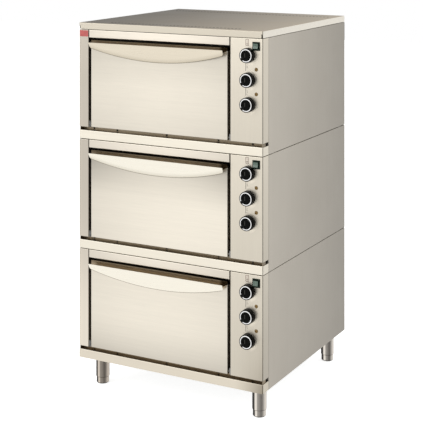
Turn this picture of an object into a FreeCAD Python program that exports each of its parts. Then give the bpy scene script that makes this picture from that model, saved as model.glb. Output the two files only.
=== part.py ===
import FreeCAD, Part
import math
import os

V = FreeCAD.Vector

# Triple deck oven in folded stainless sheet, standing on four tube legs.
# Frame: origin on the floor under the centre of the footprint. +X is to the right of
# somebody facing the doors, +Y is towards the back and +Z is up. Millimetres.
# Heights inside a deck are measured from the deck's underside.

# ---- driving dimensions: cabinet ------------------------------------------------------
WIDTH = 900.0                      # side to side
DEPTH = 880.0                      # fascia to rear panel
PITCH = 483.0                      # one deck, floor to floor
DECK_NAMES = ["lower", "middle", "upper"]
LID_H = 28.0
LEG_H = 130.0                      # floor to the underside of the cabinet
SHEET = 1.5                        # cabinet sheet
BEND = 2.5                         # outside radius of a fold
SEAM = 2.0                         # gap above each deck
JOINT = 1.0                        # gap between neighbouring front pieces
HEADER_JOINT = 3.0                 # wider gap between header strip and control panel
RUNNING = 0.05                     # radial clearance of every turning or sliding fit
TOUCH = 0.05                       # hairline gap between pieces that lie against each other
FREE = 0.2                         # gap between pieces that are screwed or hooked together

COLUMN_W = 50.0                    # left column of the fascia
PANEL_W = 150.0                    # control panel
RETURN_D = 53.0                    # how far the fascia wraps round the sides
FLANGE_D = 40.0                    # how far the chamber flange lies behind the fascia
FOLD = 15.0                        # folds of the side panels
RAIL_H = 38.0                      # lower rail
SLOT_H = 14.0                      # air slot above the rail
SLOT_D = 30.0                      # depth of the slot, behind the door's swing
HEADER_H = 37.0                    # header strip, its seam included
VENT_XS = [-390.0, -270.0, -20.0, 230.0, 390.0]    # notches in the back of the air slot
VENT_W = 8.0
WING_IN = 3.0                      # end walls of the air slot, behind the sides

# ---- driving dimensions: door and handle ----------------------------------------------
DOOR_GAP = 12.0                    # beside the door
DOOR_GAP_TOP = 9.5
DOOR_GAP_LOW = 2.0                 # above the slot's upper edge
DOOR_T = 36.5
SKIN_D = 33.5                      # depth of the door's outer shell
LINER_D = 12.0                     # depth of its inner sheet's folds
LINER_GAP = 0.3
HINGE_IN = 16.0                    # hinge axis behind the door's face
HINGE_UP = 10.0                    # hinge axis above the door's lower edge
PIN_R = 5.0
ARM_T = 4.0                        # hinge plates inside the door
ARM_UP = 60.0
BRACKET_T = 5.0                    # bearing plates beside the door
BRACKET_H = 27.0
HANDLE_DROP = 8.5                  # handle's upper edge below the door's upper edge
HANDLE_OUT = 34.0                  # how far that edge stands out from the door
HANDLE_H = 74.0                    # height at the middle
HANDLE_END_H = 24.0                # height at the ends
HANDLE_INSET = 8.0
HANDLE_T = 2.0
HANDLE_CORNER_R = 20.0
GUSSET_FROM_CENTRE = 190.0
GUSSET_ENDS = (18.0, 54.0)         # above the handle's lowest point

# ---- driving dimensions: chamber ------------------------------------------------------
CHAMBER_X = (-360.0, 260.0)
CHAMBER_Z = (98.0, 404.0)
CHAMBER_D = 730.0
HEARTH_Z = (126.0, 146.0)
LEDGE = (2.0, 24.0)                # thickness and width of the hearth ledges
GASKET = (3.3, 6.0, 19.0)          # thickness, inner and outer distance from the chamber's mouth
SUPPORT_X = (-350.0, 250.0)
SUPPORT_YS = [-230.0, 170.0]
SUPPORT_W = 40.0
SUPPORT_T = 2.0
BLANKET_Z = 8.0
ELEMENT_R = 4.0
ELEMENT_PASSES = 6
ELEMENT_PITCH = 110.0
ELEMENT_OFF_CENTRE = 25.0
ELEMENT_FROM_WALL = 70.0
ELEMENT_ZS = [386.0, 112.0]        # top heat and floor heat
TAIL_OUT = 12.0                    # element ends beyond the heat shield
BULB_R = 3.0
BULB_Y, BULB_Z = 260.0, 300.0
BULB_X = (205.0, 310.0)
OUTLET_R = 20.0
OUTLET_Z = 350.0
OUTLET_COLLAR = (32.0, 2.0)        # radius and thickness

# ---- driving dimensions: controls -----------------------------------------------------
KNOB_FROM_EDGE = 66.0
KNOB_DROPS = [72.0, 173.0, 274.0]  # below the top of the deck
KNOB_NAMES = ["thermostat", "top_heat", "floor_heat"]
KNOB_R = 30.5
KNOB_OUT = 25.0
KNOB_SEAT = 3.2                    # gap behind the knob, over the corner of the switch frame
RING_R = (22.4, 26.7)
RING_T = 3.0
POINTER_ANGLE = 221.0              # seen from the front, anticlockwise from +X
POINTER_W = 11.0
SPINDLE_R = 3.0
SPINDLE_SOCKET = 8.0               # behind the knob's face
THERMOSTAT_D = 32.0
THERMOSTAT_HALF = 20.0
THERMOSTAT_BORE = 26.0

SMALL_FROM_EDGE = 30.0             # switch and lamps
SWITCH_DROP = 34.0
SWITCH_FRAME = (34.0, 36.0)
SWITCH_WINDOW = (23.0, 24.0)
SWITCH_WALL = 1.8
SWITCH_OUT = 2.6
SWITCH_IN = 24.0
SWITCH_WELL = 16.0                 # depth of the well that the rocker moves in
ROCKER_OUT = 10.0
ROCKER_DIP = 1.6                   # how much deeper the middle of the rocker lies
ROCKER_IN = 12.0                   # behind its pivots, which keeps it heavier at the back
ROCKER_PIVOT_IN = 0.5
ROCKER_PIN_R = 1.5
ROCKER_TILT = 7.0                  # degrees, off position
LAMP_DROPS = [129.0, 230.0]
LAMP_R = 8.0
LAMP_OUT = 4.0
LAMP_IN = 18.0

# ---- driving dimensions: legs, lid and rear -------------------------------------------
LEG_R = 30.0
LEG_WALL = 2.0
LEG_INSET_X = 62.0
LEG_INSET_FRONT = 95.0
LEG_INSET_BACK = 61.0
LEG_PLATE_HALF = 40.0
LEG_PLATE_T = 5.0
LEG_PLATE_CORNER = 8.0
LEG_SCREW_R = 3.0
LEG_SCREW_HALF = 31.0
LEG_SCREW_HEAD = (5.0, 4.0)        # radius and height
BOSS_H = 40.0
FOOT_R = 27.5
FOOT_H = 30.0
STEM_R = 8.0
STEM_H = 50.0

HOLE_R = 5.0                       # perforations of the lid
HOLE_PITCH = 17.5
FRONT_HOLES = (58.0, -315.0, 37)   # distance from the lid's edge, place of the first hole, count
REAR_HOLES = (112.0, -394.0, 47)
LID_RELIEF = (6.5, 3.0, 16.0)      # notch at each front corner of the lid: along X, Y and Z
PANEL_SCREW_IN = 7.5
PANEL_SCREW_END = 40.0
PANEL_SCREW_R = 2.0
PANEL_SCREW_HEAD = (4.0, 2.25)
LOUVRE_XS = (-330.0, 340.0)
LOUVRE_Z = 300.0
LOUVRE_LENGTH = 70.0
LOUVRE_H = 5.0
LOUVRE_COUNT = 9
LOUVRE_PITCH = 14.0
GLAND_X, GLAND_Z = 384.0, LEG_H + 60.0
GLAND_NUT = (30.0, 8.0)            # width across flats and thickness
GLAND_CAP = (27.0, 12.0)
GLAND_NOSE = (11.0, 4.0)           # radius and length
GLAND_NECK_R = 9.5
CABLE_R = 7.0
BLOCK_WAYS = 5
BLOCK_WAY = (10.0, 14.0)           # width and pitch of one way
BADGE_DROP = (6.0, 33.0)
BADGE_T = 0.85

# ---- places that follow from them -----------------------------------------------------
LEFT, RIGHT = -WIDTH / 2, WIDTH / 2
FRONT, BACK = -DEPTH / 2, DEPTH / 2
OPEN_LEFT, OPEN_RIGHT = LEFT + COLUMN_W, RIGHT - PANEL_W
CENTRE_X = (OPEN_LEFT + OPEN_RIGHT) / 2
FASCIA_Z = RAIL_H + SLOT_H
HEADER_Z = PITCH - HEADER_H
DECK_TOP = PITCH - SEAM
SIDE_Y = FRONT + RETURN_D + JOINT
FLANGE_Y = FRONT + FLANGE_D
REAR_Y = BACK - SHEET
DOOR_X = (OPEN_LEFT + DOOR_GAP, OPEN_RIGHT - DOOR_GAP)
DOOR_Z = (FASCIA_Z + DOOR_GAP_LOW, HEADER_Z - DOOR_GAP_TOP)
HINGE_Y = FRONT + HINGE_IN
HINGE_Z = DOOR_Z[0] + HINGE_UP
KNOB_X = RIGHT - KNOB_FROM_EDGE
SMALL_X = RIGHT - SMALL_FROM_EDGE
SWITCH_Z = PITCH - SWITCH_DROP
THERMOSTAT_Y = FRONT + SHEET + 1.0
CHAMBER_Y = (FLANGE_Y, FLANGE_Y + CHAMBER_D)
SHIELD_X = OPEN_RIGHT + 3.0
PAN_Z = (SHEET + FREE, 2 * SHEET + FREE)
REACH_BACK = HANDLE_OUT + TOUCH    # the rear fittings reach as far as the handles do
PANEL_SCREW_X = RIGHT - PANEL_SCREW_IN
PANEL_SCREW_ZS = [PANEL_SCREW_END, DECK_TOP / 2, DECK_TOP - PANEL_SCREW_END]
LEG_TOP = LEG_H + PAN_Z[0] - 0.1
DECK_BASES = [LEG_H + k * PITCH for k in range(len(DECK_NAMES))]
CABINET_TOP = LEG_H + len(DECK_NAMES) * PITCH


# ---- shape helpers --------------------------------------------------------------------
def box(x, y, z):
    """Block between two limits along each axis."""
    return Part.makeBox(x[1] - x[0], y[1] - y[0], z[1] - z[0], V(x[0], y[0], z[0]))


def about(centre, size):
    """Limits of the given size round a centre."""
    return centre - size / 2, centre + size / 2


def inset(limits, amount):
    return limits[0] + amount, limits[1] - amount


def rod(radius, start, direction, length):
    return Part.makeCylinder(radius, length, V(*start), V(*direction))


def tube(outer, inner, start, direction, length):
    return rod(outer, start, direction, length).cut(rod(inner, start, direction, length))


def lies_on(edge, axis, value):
    return all(abs(vertex.Point[axis] - value) < 1e-6 for vertex in edge.Vertexes)


def edges_of_length(shape, length):
    return [edge for edge in shape.Edges if abs(edge.Length - length) < 1e-6]


def round_edges_at(shape, axis, value):
    """Closed edges whose centre lies at a place along one axis."""
    return [edge for edge in shape.Edges if edge.Closed and abs(edge.CenterOfMass[axis] - value) < 0.1]


def folded_box(x, y, z, open_axis, open_high):
    """Box of folded sheet with one open side and rounded bends on all other edges."""
    limits = [list(x), list(y), list(z)]
    end = 1 if open_high else 0
    mouth = limits[open_axis][end]
    outer = box(x, y, z)
    outer = outer.makeFillet(BEND, [edge for edge in outer.Edges if not lies_on(edge, open_axis, mouth)])
    inner = [list(inset(pair, SHEET)) for pair in limits]
    inner[open_axis][end] = mouth + (1 if open_high else -1)
    hollow = box(*inner)
    bends = [edge for edge in hollow.Edges if not lies_on(edge, open_axis, inner[open_axis][end])]
    return outer.cut(hollow.makeFillet(BEND - SHEET, bends))


def joined(shapes):
    return shapes[0].fuse(shapes[1:]).removeSplitter()


def group(shapes):
    return Part.makeCompound(shapes)


def each_deck(make):
    """The same piece in every deck, as separate solids."""
    return [make().translated(V(0, 0, base)) for base in DECK_BASES]


def save(name, shapes):
    """Writes one node: a single solid, or a group of separate ones."""
    solids = [solid for shape in shapes for solid in shape.Solids]
    node = solids[0] if len(solids) == 1 else group(solids)
    node.exportStep("parts/%s.step" % name)


# ---- cabinet of one deck --------------------------------------------------------------
def bottom_rail():
    """Channel under the air slot, wrapped round both front corners.

    A notched upstand with two wings closes the slot at the back and at its ends.
    """
    inside_x = (LEFT + SHEET, RIGHT - SHEET)
    upstand_y = (FRONT + SLOT_D, FRONT + SLOT_D + SHEET)
    rail = folded_box((LEFT, RIGHT), (FRONT, FRONT + RETURN_D), (0, RAIL_H), 1, True)
    under = box(inside_x, (FRONT + SHEET, SIDE_Y), (-1, RAIL_H / 2))
    behind = box(inside_x, (upstand_y[1], SIDE_Y), (RAIL_H / 2, RAIL_H + 1))
    upright_z = (RAIL_H - SHEET, FASCIA_Z - JOINT)
    upstand = box(inset((LEFT, RIGHT), WING_IN), upstand_y, upright_z)
    wings = [box((x, x + SHEET), (FRONT + WING_IN, upstand_y[1]), upright_z)
             for x in (LEFT + WING_IN, RIGHT - WING_IN - SHEET)]
    notches = [box(about(x, VENT_W), (upstand_y[0] - 1, upstand_y[1] + 1), (RAIL_H + 1, FASCIA_Z))
               for x in VENT_XS]
    return joined([rail.cut([under, behind]), upstand] + wings).cut(notches)


def left_column():
    column = folded_box((LEFT, OPEN_LEFT), (FRONT, FRONT + RETURN_D), (FASCIA_Z, DECK_TOP), 1, True)
    behind_flange = box((OPEN_LEFT - 2 * BEND, OPEN_LEFT + 1), (FLANGE_Y - JOINT, SIDE_Y),
                        (FASCIA_Z - 1, DECK_TOP + 1))
    return column.cut(behind_flange)


def header_strip():
    return folded_box((OPEN_LEFT + JOINT, OPEN_RIGHT - HEADER_JOINT), (FRONT, FLANGE_Y - JOINT),
                      (HEADER_Z, DECK_TOP), 1, True)


def control_panel():
    """Panel with the openings for spindles, switch and lamps."""
    panel = folded_box((OPEN_RIGHT, RIGHT), (FRONT, FRONT + RETURN_D), (FASCIA_Z, DECK_TOP), 1, True)
    cuts = [box((OPEN_RIGHT - 1, OPEN_RIGHT + 2 * BEND), (FLANGE_Y - JOINT, SIDE_Y),
                (FASCIA_Z - 1, DECK_TOP + 1))]
    for drop in KNOB_DROPS:
        cuts.append(rod(SPINDLE_R + 1.5, (KNOB_X, FRONT - 1, PITCH - drop), (0, 1, 0), 2 * SHEET))
    for drop in LAMP_DROPS:
        cuts.append(rod(LAMP_R - 1, (SMALL_X, FRONT - 1, PITCH - drop), (0, 1, 0), 2 * SHEET))
    round_switch = 2 * (SWITCH_WALL + FREE)
    cuts.append(box(about(SMALL_X, SWITCH_WINDOW[0] + round_switch), (FRONT - 1, FRONT + 2 * SHEET),
                    about(SWITCH_Z, SWITCH_WINDOW[1] + round_switch)))
    return panel.cut(cuts)


def side_panel(side):
    """Panel with a fold round all four edges; side is -1 for left and +1 for right."""
    x = (LEFT, LEFT + FOLD) if side < 0 else (RIGHT - FOLD, RIGHT)
    panel = folded_box(x, (SIDE_Y, REAR_Y - FREE), (0, DECK_TOP), 0, side < 0)
    return panel.cut([rod(PANEL_SCREW_R + 0.1, (side * PANEL_SCREW_X, REAR_Y - 5, z), (0, 1, 0), 8)
                      for z in PANEL_SCREW_ZS])


def rear_panel():
    """Flat plate with two banks of cooling slots and a hole for the steam outlet."""
    plate = box((LEFT, RIGHT), (REAR_Y, BACK), (0, DECK_TOP))
    plate = plate.makeFillet(BEND, edges_of_length(plate, SHEET))
    through = (REAR_Y - 1, BACK + 1)
    cuts = [rod(OUTLET_R + 0.5, (CENTRE_X, through[0], OUTLET_Z), (0, 1, 0), 2 * SHEET)]
    for row in range(LOUVRE_COUNT):
        z = LOUVRE_Z + row * LOUVRE_PITCH
        for x in LOUVRE_XS:
            slot = box(about(x, LOUVRE_LENGTH), through, (z, z + LOUVRE_H))
            cuts.append(slot.makeFillet(LOUVRE_H / 2 - 0.05, edges_of_length(slot, SHEET + 2)))
    for x in (-PANEL_SCREW_X, PANEL_SCREW_X):
        for z in PANEL_SCREW_ZS:
            cuts.append(rod(PANEL_SCREW_R + 0.1, (x, through[0], z), (0, 1, 0), 2 * SHEET))
    return plate.cut(cuts)


def leg_places():
    for x in (LEFT + LEG_INSET_X, RIGHT - LEG_INSET_X):
        for y in (FRONT + LEG_INSET_FRONT, BACK - LEG_INSET_BACK):
            yield x, y


def leg_screw_places():
    for x, y in leg_places():
        for dx in (-LEG_SCREW_HALF, LEG_SCREW_HALF):
            for dy in (-LEG_SCREW_HALF, LEG_SCREW_HALF):
                yield x + dx, y + dy


def deck_floor(with_leg_holes):
    """Floor pan that carries the chamber; the lowest one also takes the legs."""
    within_bends = BEND - 0.3
    wide = box(inset((LEFT, RIGHT), within_bends), inset((SIDE_Y, REAR_Y), BEND), PAN_Z)
    front = box(inset((LEFT, RIGHT), FOLD + 0.5), (FRONT + SHEET + FREE, SIDE_Y + BEND + 1), PAN_Z)
    pan = joined([wide, front])
    if with_leg_holes:
        pan = pan.cut([rod(LEG_SCREW_R + 0.3, (x, y, 0), (0, 0, 1), 5) for x, y in leg_screw_places()])
    return pan


def stacking_pads():
    """Pads that carry the next deck, or the lid, and keep the seam open."""
    pad_w, pad_d = 10.0, 40.0
    return group([box(about(side * (RIGHT - 8.5), pad_w), (y, y + pad_d), (DECK_TOP, PITCH))
                  for side in (-1, 1) for y in (SIDE_Y + 30, REAR_Y - 80)])


# ---- oven chamber of one deck -----------------------------------------------------------
def element_ends():
    first = -(ELEMENT_PASSES - 1) / 2 * ELEMENT_PITCH - ELEMENT_OFF_CENTRE
    return first, first + (ELEMENT_PASSES - 1) * ELEMENT_PITCH


def wall_holes(extra):
    """Everything that passes through the chamber's walls, with some room round it."""
    holes = [rod(ELEMENT_R + extra, (CHAMBER_X[1] - 2, y, z), (1, 0, 0), 60)
             for y in element_ends() for z in ELEMENT_ZS]
    holes.append(rod(BULB_R + extra, (CHAMBER_X[1] - 60, BULB_Y, BULB_Z), (1, 0, 0), 120))
    holes.append(rod(OUTLET_R + extra, (CENTRE_X, CHAMBER_Y[1] - 5, OUTLET_Z), (0, 1, 0), 130))
    return holes


def chamber():
    """Oven chamber with its front flange, open at the front."""
    outside = [(low - SHEET, high + SHEET) for low, high in (CHAMBER_X, CHAMBER_Z)]
    shell = box(outside[0], (CHAMBER_Y[0], CHAMBER_Y[1] + SHEET), outside[1])
    flange = box(inset((OPEN_LEFT, OPEN_RIGHT), 1.5), (FLANGE_Y, FLANGE_Y + SHEET),
                 (RAIL_H + 2, HEADER_Z - 1.5))
    hollow = box(CHAMBER_X, (CHAMBER_Y[0] - 1, CHAMBER_Y[1]), CHAMBER_Z)
    return joined([shell, flange]).cut([hollow] + wall_holes(FREE))


def chamber_supports():
    """Two channels under the chamber."""
    top = CHAMBER_Z[0] - SHEET - 0.1
    shapes = []
    for y in SUPPORT_YS:
        outer = box(SUPPORT_X, about(y, SUPPORT_W), (PAN_Z[1] + 0.1, top))
        inner = box(inset(SUPPORT_X, -1), about(y, SUPPORT_W - 2 * SUPPORT_T), (0, top - SUPPORT_T))
        shapes.append(outer.cut(inner))
    return group(shapes)


def blanket():
    """Insulation round the chamber, in one piece."""
    outer = box((LEFT + FOLD + 1, SHIELD_X - 0.5), (FLANGE_Y + SHEET + 0.5, REAR_Y - 2.5),
                (BLANKET_Z, DECK_TOP - 3))
    column_corner = box((LEFT, OPEN_LEFT + 0.5), (FRONT, SIDE_Y + 0.5), (0, PITCH))
    round_chamber = [(low - 2, high + 2) for low, high in (CHAMBER_X, CHAMBER_Z)]
    hollow = box(round_chamber[0], (CHAMBER_Y[0], CHAMBER_Y[1] + 2), round_chamber[1])
    channels = [box(inset(SUPPORT_X, -1), about(y, SUPPORT_W + 1), (BLANKET_Z - 1, CHAMBER_Z[0] - 1))
                for y in SUPPORT_YS]
    return outer.cut([hollow, column_corner] + channels + wall_holes(0.5))


def heat_shield():
    """Sheet between the insulation and the controls."""
    sheet = box((SHIELD_X, SHIELD_X + SHEET), (FLANGE_Y + 3, REAR_Y - 2.5), (PAN_Z[1] + FREE, DECK_TOP - 3))
    return sheet.cut(wall_holes(0.5))


def hearth_ledges():
    """Angle strips on both chamber walls, on which the hearth stone lies."""
    thick, wide = LEDGE
    y = inset(CHAMBER_Y, 6)
    shapes = []
    for wall, inward in ((CHAMBER_X[0] + 0.1, 1), (CHAMBER_X[1] - 0.1, -1)):
        upright = sorted([wall, wall + inward * thick])
        shelf = sorted([wall, wall + inward * wide])
        shapes.append(joined([box(upright, y, (HEARTH_Z[0] - thick, HEARTH_Z[1] + 6)),
                              box(shelf, y, (HEARTH_Z[0] - thick, HEARTH_Z[0]))]))
    return group(shapes)


def hearth():
    """Refractory stone with eased edges."""
    stone = box(inset(CHAMBER_X, LEDGE[0] + 2), inset(CHAMBER_Y, 8), HEARTH_Z)
    return stone.makeChamfer(1.5, stone.Edges)


def heating_element(z):
    """One rod bent back and forth, with both ends led out to the controls side."""
    turn = ELEMENT_PITCH / 2
    near_x, far_x = CHAMBER_X[1] - ELEMENT_FROM_WALL, CHAMBER_X[0] + ELEMENT_FROM_WALL
    tail_x = SHIELD_X + SHEET + TAIL_OUT
    start_y = element_ends()[0]
    pieces = []
    point = V(tail_x, start_y, z)
    for k in range(ELEMENT_PASSES):
        y = start_y + k * ELEMENT_PITCH
        outward = k % 2 == 0
        last = k == ELEMENT_PASSES - 1
        end = V(tail_x if last else (far_x if outward else near_x), y, z)
        pieces.append(Part.LineSegment(point, end).toShape())
        if not last:
            bulge = -turn if outward else turn
            point = V(end.x, y + ELEMENT_PITCH, z)
            pieces.append(Part.Arc(end, V(end.x + bulge, y + turn, z), point).toShape())
    profile = Part.Wire(Part.makeCircle(ELEMENT_R, V(tail_x, start_y, z), V(-1, 0, 0)))
    return Part.Wire(pieces).makePipeShell([profile], True, False)


def temperature_bulb():
    """Sensing bulb of the thermostat, with its neck through the chamber wall."""
    bulb = rod(BULB_R, (BULB_X[0], BULB_Y, BULB_Z), (1, 0, 0), BULB_X[1] - BULB_X[0])
    return bulb.makeFillet(BULB_R / 2, [edge for edge in bulb.Edges if edge.Closed])


def steam_outlet():
    """Pipe from the chamber's rear wall through a collar to the outside, where a flue fits over it."""
    start_y = CHAMBER_Y[1] - 4
    collar_r, collar_t = OUTLET_COLLAR
    pipe = rod(OUTLET_R, (CENTRE_X, start_y, OUTLET_Z), (0, 1, 0), BACK + REACH_BACK - start_y)
    collar = rod(collar_r, (CENTRE_X, BACK + TOUCH, OUTLET_Z), (0, 1, 0), collar_t)
    bore = rod(OUTLET_R - SHEET, (CENTRE_X, start_y - 1, OUTLET_Z), (0, 1, 0), DEPTH)
    return joined([pipe, collar]).cut(bore)


# ---- door of one deck -------------------------------------------------------------------
def door_skin():
    """Outer shell of the door, open towards the chamber."""
    skin = folded_box(DOOR_X, (FRONT, FRONT + SKIN_D), DOOR_Z, 1, True)
    return skin.cut([rod(PIN_R + 0.3, (x - 3, HINGE_Y, HINGE_Z), (1, 0, 0), 6) for x in DOOR_X])


def door_liner():
    """Inner sheet of the door, folded outwards inside the skin."""
    margin = SHEET + LINER_GAP
    return folded_box(inset(DOOR_X, margin), (FRONT + DOOR_T - LINER_D, FRONT + DOOR_T),
                      inset(DOOR_Z, margin), 1, False)


def hinge_arms():
    """Left and right hinge plates inside the door, each with its pin welded on."""
    plate_y = (FRONT + 4, FRONT + DOOR_T - LINER_D - 0.5)
    shapes = []
    for edge_x, inward in ((DOOR_X[0], 1), (DOOR_X[1], -1)):
        inner = edge_x + inward * (SHEET + FREE)
        plate_x = sorted([inner, inner + inward * ARM_T])
        plate = box(plate_x, plate_y, (DOOR_Z[0] + 3, DOOR_Z[0] + ARM_UP))
        pin = rod(PIN_R, (inner, HINGE_Y, HINGE_Z), (-inward, 0, 0), DOOR_GAP + SHEET - 2 * FREE)
        shapes.append(joined([plate, pin]))
    return group(shapes)


def door_insulation():
    """Slab between skin and liner, notched for the hinge plates."""
    margin = SHEET + LINER_GAP + SHEET + 0.7
    slab_y = (FRONT + SHEET + 1, FRONT + DOOR_T - SHEET - 1)
    slab = box(inset(DOOR_X, margin), slab_y, inset(DOOR_Z, margin))
    notches = [box(about(x, 16), (FRONT, FRONT + DOOR_T), (DOOR_Z[0], DOOR_Z[0] + ARM_UP + 2))
               for x in DOOR_X]
    return slab.cut(notches)


def door_handle():
    """Crescent grip: a flat plate leaning out from the door, held by two welded gussets."""
    top_z = DOOR_Z[1] - HANDLE_DROP
    low_z = top_z - HANDLE_H
    end_z = top_z - HANDLE_END_H
    door_y = FRONT - TOUCH
    left, right = inset(DOOR_X, HANDLE_INSET)

    def on_plate(x, z):
        return V(x, door_y - HANDLE_OUT * (z - low_z) / HANDLE_H, z)

    upper = [on_plate(left, top_z), on_plate(right, top_z)]
    ends = [on_plate(left, end_z), on_plate(right, end_z)]
    outline = Part.Wire([Part.LineSegment(upper[0], upper[1]).toShape(),
                         Part.LineSegment(upper[1], ends[1]).toShape(),
                         Part.Arc(ends[1], on_plate(CENTRE_X, low_z), ends[0]).toShape(),
                         Part.LineSegment(ends[0], upper[0]).toShape()])
    slope = math.hypot(HANDLE_OUT, HANDLE_H)
    inward = V(0, HANDLE_H / slope, HANDLE_OUT / slope)
    plate = Part.Face(outline).extrude(inward * HANDLE_T)
    corners = [edge for edge in edges_of_length(plate, HANDLE_T)
               if abs(edge.CenterOfMass.z - end_z) < HANDLE_T]
    plate = plate.makeFillet(HANDLE_CORNER_R, corners)
    gussets = []
    for x in (CENTRE_X - GUSSET_FROM_CENTRE, CENTRE_X + GUSSET_FROM_CENTRE):
        foot_z, head_z = low_z + GUSSET_ENDS[0], low_z + GUSSET_ENDS[1]
        web = [V(x, door_y, foot_z), V(x, door_y, head_z), on_plate(x, head_z), on_plate(x, foot_z)]
        gussets.append(Part.Face(Part.makePolygon(web + web[:1])).extrude(V(HANDLE_T, 0, 0)))
    round_it = inset((left, right), -5)
    above = box(round_it, (FRONT - 60, FRONT + 10), (top_z, top_z + 10))
    behind_door_face = box(round_it, (door_y, FRONT + 10), (low_z - 10, top_z + 10))
    return joined([plate] + gussets).cut([behind_door_face, above])


def hinge_brackets():
    """Bearing plates for the hinge pins, screwed to the chamber flange."""
    shapes = []
    for face_x, inward in ((OPEN_LEFT, 1), (OPEN_RIGHT, -1)):
        x = sorted([face_x + inward * FREE, face_x + inward * (FREE + BRACKET_T)])
        bearing = box(x, (FRONT + 5, FLANGE_Y - FREE), (FASCIA_Z + 1, FASCIA_Z + 1 + BRACKET_H))
        shapes.append(bearing.cut(rod(PIN_R + RUNNING, (face_x - 10, HINGE_Y, HINGE_Z), (1, 0, 0), 20)))
    return group(shapes)


def door_gasket():
    """Seal on the chamber flange round the mouth."""
    thick, near, far = GASKET
    y = (FLANGE_Y - 0.1 - thick, FLANGE_Y - 0.1)
    outer = box(inset(CHAMBER_X, -far), y, inset(CHAMBER_Z, -far))
    inner = box(inset(CHAMBER_X, -near), (y[0] - 1, y[1] + 1), inset(CHAMBER_Z, -near))
    return outer.cut(inner)


# ---- controls of one deck ---------------------------------------------------------------
def turned(profile):
    """Solid of revolution about the Y axis; profile points are (radius, y)."""
    points = [V(radius, y, 0) for radius, y in profile]
    face = Part.Face(Part.makePolygon(points + points[:1]))
    return face.revolve(V(0, 0, 0), V(0, 1, 0), 360)


def pointer(radii, width, y):
    """Bar across the knob's face, at the angle of the off position."""
    bar = box(radii, y, about(0, width))
    bar.rotate(V(0, 0, 0), V(0, 1, 0), -POINTER_ANGLE)
    return bar


def knob(z):
    """Moulded knob, its bright ring, and the spindle that both turn on."""
    face = FRONT - KNOB_OUT
    seat = FRONT - KNOB_SEAT
    low, high = RING_R
    groove = face + RING_T
    bore = SPINDLE_R + 0.02
    socket = face + SPINDLE_SOCKET
    moulding = turned([(bore, seat), (KNOB_R, seat), (KNOB_R, seat - 3), (KNOB_R - 1, seat - 4),
                       (KNOB_R - 1.2, face + 1.5), (KNOB_R - 1.5, face + 0.5), (high + 0.05, face + 0.5),
                       (high + 0.05, groove), (low - 0.05, groove), (low - 0.05, face),
                       (low - 1.5, face - 1), (0, face - 1), (0, socket), (bore, socket)])
    moulding = joined([moulding, pointer((12, KNOB_R - 1.6), POINTER_W, (face - 2, face + 4))])
    ring = turned([(low, groove - 0.1), (high, groove - 0.1), (high, face + 0.3), (high - 0.6, face),
                   (low + 0.6, face), (low, face + 0.3)])
    ring = ring.cut(pointer((10, KNOB_R + 5), POINTER_W + 0.8, (face - 5, face + 5)))
    spindle_end = THERMOSTAT_Y + THERMOSTAT_BORE - 2
    spindle = rod(SPINDLE_R, (0, socket + 0.1, 0), (0, 1, 0), spindle_end - socket - 0.1)
    return group([moulding, ring, spindle]).translated(V(KNOB_X, 0, z))


def thermostats():
    """Bodies of the thermostat and of the two heat selectors, bored for their spindles."""
    shapes = []
    for drop in KNOB_DROPS:
        z = PITCH - drop
        body = box(about(KNOB_X, 2 * THERMOSTAT_HALF), (THERMOSTAT_Y, THERMOSTAT_Y + THERMOSTAT_D),
                   about(z, 2 * THERMOSTAT_HALF))
        body = body.makeFillet(4.0, edges_of_length(body, THERMOSTAT_D))
        shapes.append(body.cut(rod(SPINDLE_R + RUNNING, (KNOB_X, THERMOSTAT_Y - 1, z), (0, 1, 0),
                                   THERMOSTAT_BORE)))
    return group(shapes)


def switch_housing():
    """Black frame clipped into the panel, with the switch body behind it."""
    back = FRONT - TOUCH
    rim = box(about(SMALL_X, SWITCH_FRAME[0]), (back - SWITCH_OUT, back), about(SWITCH_Z, SWITCH_FRAME[1]))
    rim = rim.makeFillet(1.2, [edge for edge in rim.Edges if not lies_on(edge, 1, back)])
    open_x, open_z = SWITCH_WINDOW
    body = box(about(SMALL_X, open_x + 2 * SWITCH_WALL), (FRONT - 1, FRONT + SWITCH_IN),
               about(SWITCH_Z, open_z + 2 * SWITCH_WALL))
    well = box(about(SMALL_X, open_x), (back - 2 * SWITCH_OUT, FRONT + SWITCH_WELL), about(SWITCH_Z, open_z))
    pivots = rod(ROCKER_PIN_R + RUNNING, (SMALL_X - open_x / 2 - 1.2, FRONT + ROCKER_PIVOT_IN, SWITCH_Z),
                 (1, 0, 0), open_x + 2.4)
    return joined([rim, body]).cut([well, pivots])


def rocker():
    """Lit rocker with a shallow V face and two pivot pins, tilted to its off position."""
    half_x = SWITCH_WINDOW[0] / 2 - 0.4
    half_z = SWITCH_WINDOW[1] / 2 - 1.6
    ridge = -ROCKER_OUT - ROCKER_PIVOT_IN
    outline = [(-half_z, ridge), (0, ridge + ROCKER_DIP), (half_z, ridge), (half_z, ROCKER_IN),
               (-half_z, ROCKER_IN)]
    points = [V(-half_x, y, z) for z, y in outline]
    block = Part.Face(Part.makePolygon(points + points[:1])).extrude(V(2 * half_x, 0, 0))
    pins = rod(ROCKER_PIN_R, (-half_x - 1.2, 0, 0), (1, 0, 0), 2 * half_x + 2.4)
    button = joined([block, pins])
    button.rotate(V(0, 0, 0), V(1, 0, 0), -ROCKER_TILT)
    return button.translated(V(SMALL_X, FRONT + ROCKER_PIVOT_IN, SWITCH_Z))


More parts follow.
